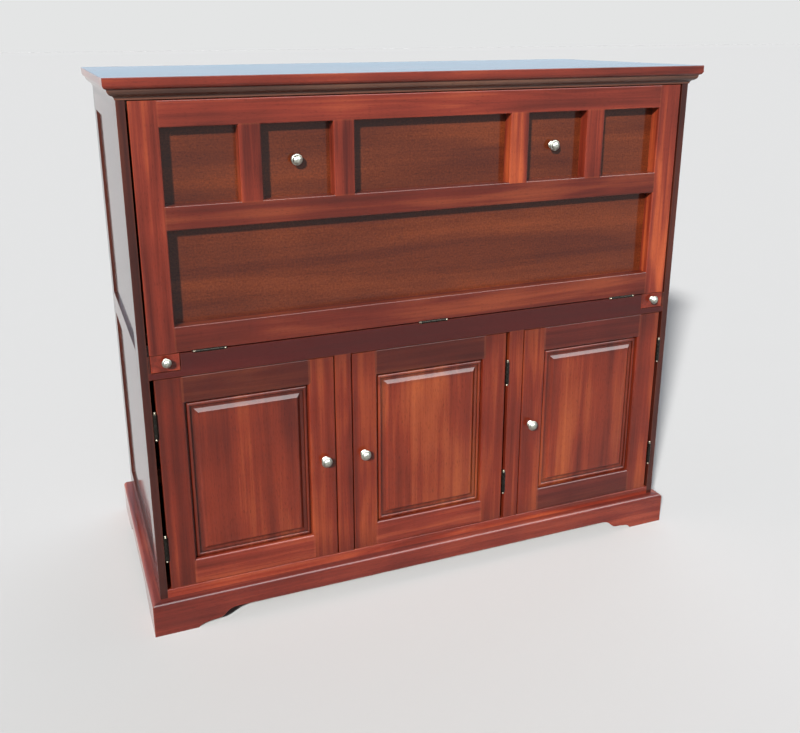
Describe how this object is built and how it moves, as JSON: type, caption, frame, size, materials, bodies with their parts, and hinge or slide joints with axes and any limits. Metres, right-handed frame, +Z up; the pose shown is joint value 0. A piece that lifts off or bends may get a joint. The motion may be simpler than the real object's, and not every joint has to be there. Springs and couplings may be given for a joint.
{
  "type": "secretary desk",
  "caption": "Wide cabinet desk on a bracket plinth: panelled fall front that opens onto pull-out lopers, gallery inside, raised-panel cupboard doors below.",
  "frame": {"origin": "on the floor under the middle of the case", "axes": "+X to the right along the width, seen from the front; +Y from the doors to the back; +Z up"},
  "size_m": [1.5, 0.68, 1.33],
  "materials": {
    "mahogany": "red-brown stain under gloss lacquer",
    "mahogany_panel": "ribbon-grained panel under gloss lacquer",
    "fall_board": "plain dark brown board under satin lacquer",
    "inside_wood": "satin lacquer",
    "plain_wood": "thin brown stain, unpolished",
    "knob_metal": "satin nickel",
    "hinge_metal": "antique nickel",
    "catch_metal": "dark satin"
  },
  "bodies": {
    "case": {"top_board": "mahogany", "crown_front": "mahogany", "crown_returns": "mahogany", "plinth_front": "mahogany", "plinth_returns": "mahogany", "plinth_braces": "plain_wood", "left_side_stiles": "mahogany", "left_side_rails": "mahogany", "left_side_panels": "mahogany_panel", "right_side_stiles": "mahogany", "right_side_rails": "mahogany", "right_side_panels": "mahogany_panel", "face_mullions": "mahogany", "bottom_rail": "mahogany", "top_rail": "mahogany", "bottom_board": "inside_wood", "dust_board": "inside_wood", "desk_board": "inside_wood", "partitions": "inside_wood", "back_panels": "plain_wood", "cupboard_shelves": "inside_wood", "shelf_cleats": "plain_wood", "desk_rail": "mahogany", "loper_guides": "plain_wood", "gallery_shelves": "inside_wood", "gallery_dividers": "inside_wood", "magnet_catches": "catch_metal", "hinge_fixed_leaves": "hinge_metal", "hinge_pins": "hinge_metal"},
    "fall": {"fall_writing_board": "fall_board", "fall_stiles": "mahogany", "fall_rails": "mahogany", "fall_mullions": "mahogany", "fall_knobs": "knob_metal", "fall_hinge_leaves": "hinge_metal"},
    "left_loper": {"left_loper": "mahogany", "left_loper_knob": "knob_metal"},
    "right_loper": {"right_loper": "mahogany", "right_loper_knob": "knob_metal"},
    "left_door": {"left_door_stiles": "mahogany", "left_door_rails": "mahogany", "left_door_panel": "mahogany_panel", "left_door_knob": "knob_metal", "left_door_hinge_leaves": "hinge_metal"},
    "middle_door": {"middle_door_stiles": "mahogany", "middle_door_rails": "mahogany", "middle_door_panel": "mahogany_panel", "middle_door_knob": "knob_metal", "middle_door_hinge_leaves": "hinge_metal"},
    "right_door": {"right_door_stiles": "mahogany", "right_door_rails": "mahogany", "right_door_panel": "mahogany_panel", "right_door_knob": "knob_metal", "right_door_hinge_leaves": "hinge_metal"},
    "left_drawer": {"left_drawer_front": "mahogany", "left_drawer_box": "plain_wood", "left_drawer_knob": "knob_metal"},
    "right_drawer": {"right_drawer_front": "mahogany", "right_drawer_box": "plain_wood", "right_drawer_knob": "knob_metal"}
  },
  "joints": [
    {"name": "fall_hinge", "type": "hinge", "parent": "case", "child": "fall", "pos_m": [0, -0.315, 0.7182], "axis": [1, 0, 0], "range_deg": [0, 90]},
    {"name": "left_loper_slide", "type": "slide", "parent": "case", "child": "left_loper", "axis": [0, -1, 0], "range_m": [0, 0.32]},
    {"name": "right_loper_slide", "type": "slide", "parent": "case", "child": "right_loper", "axis": [0, -1, 0], "range_m": [0, 0.32]},
    {"name": "left_door_hinge", "type": "hinge", "parent": "case", "child": "left_door", "pos_m": [-0.7015, -0.317, 0.38575], "axis": [0, 0, -1], "range_deg": [0, 170]},
    {"name": "middle_door_hinge", "type": "hinge", "parent": "case", "child": "middle_door", "pos_m": [0.2165, -0.317, 0.38575], "axis": [0, 0, 1], "range_deg": [0, 110]},
    {"name": "right_door_hinge", "type": "hinge", "parent": "case", "child": "right_door", "pos_m": [0.7015, -0.317, 0.38575], "axis": [0, 0, 1], "range_deg": [0, 170]},
    {"name": "left_drawer_slide", "type": "slide", "parent": "case", "child": "left_drawer", "axis": [0, -1, 0], "range_m": [0, 0.18]},
    {"name": "right_drawer_slide", "type": "slide", "parent": "case", "child": "right_drawer", "axis": [0, -1, 0], "range_m": [0, 0.18]}
  ]
}
